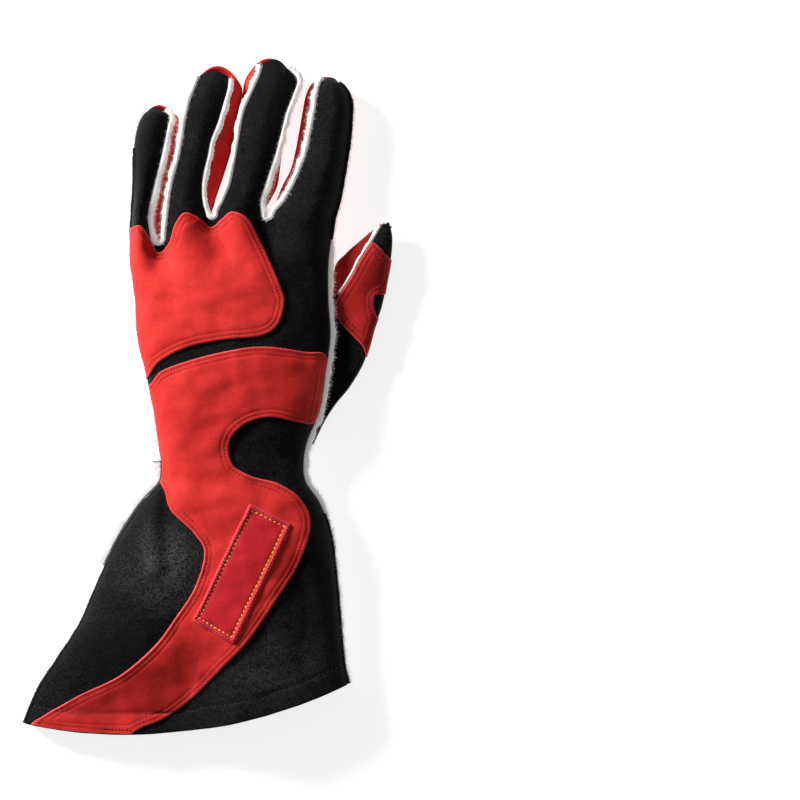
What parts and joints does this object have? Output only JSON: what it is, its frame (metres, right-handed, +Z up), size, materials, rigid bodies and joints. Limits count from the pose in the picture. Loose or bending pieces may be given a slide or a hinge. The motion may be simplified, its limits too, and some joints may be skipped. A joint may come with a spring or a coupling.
{
  "type": "racing glove",
  "caption": "Left-hand gauntlet driving glove with knit back, suede palm and overlays, outseam fingers and a flared open cuff.",
  "frame": {"origin": "on the floor under the middle of the whole glove, which lies palm down", "axes": "+Z up from the palm to the back of the hand, +Y from the cuff to the fingertips, +X towards the thumb"},
  "size_m": [0.2152, 0.392, 0.0298],
  "materials": {
    "black_knit": "matte",
    "red_suede": "matte",
    "black_suede": "matte",
    "white_lining": "matte"
  },
  "bodies": {
    "root": {"back_panel": "black_knit", "palm_panel": "red_suede", "gauntlet_palm": "black_knit", "fourchette_1": "red_suede", "fourchette_2": "red_suede", "fourchette_3": "red_suede", "slot_lining_1": "white_lining", "slot_lining_2": "white_lining", "slot_lining_3": "white_lining", "thumb_back": "black_knit", "thumb_inner": "red_suede", "side_lining_thumb": "white_lining", "side_lining_little": "white_lining", "side_label": "white_lining", "thumb_lining": "white_lining", "gusset_lining": "white_lining", "thumb_palm_lining": "white_lining", "knuckle_patch": "red_suede", "wrist_patch": "red_suede", "label_patch": "red_suede", "thumb_patch": "red_suede", "palm_pad": "black_suede"}
  },
  "joints": []
}
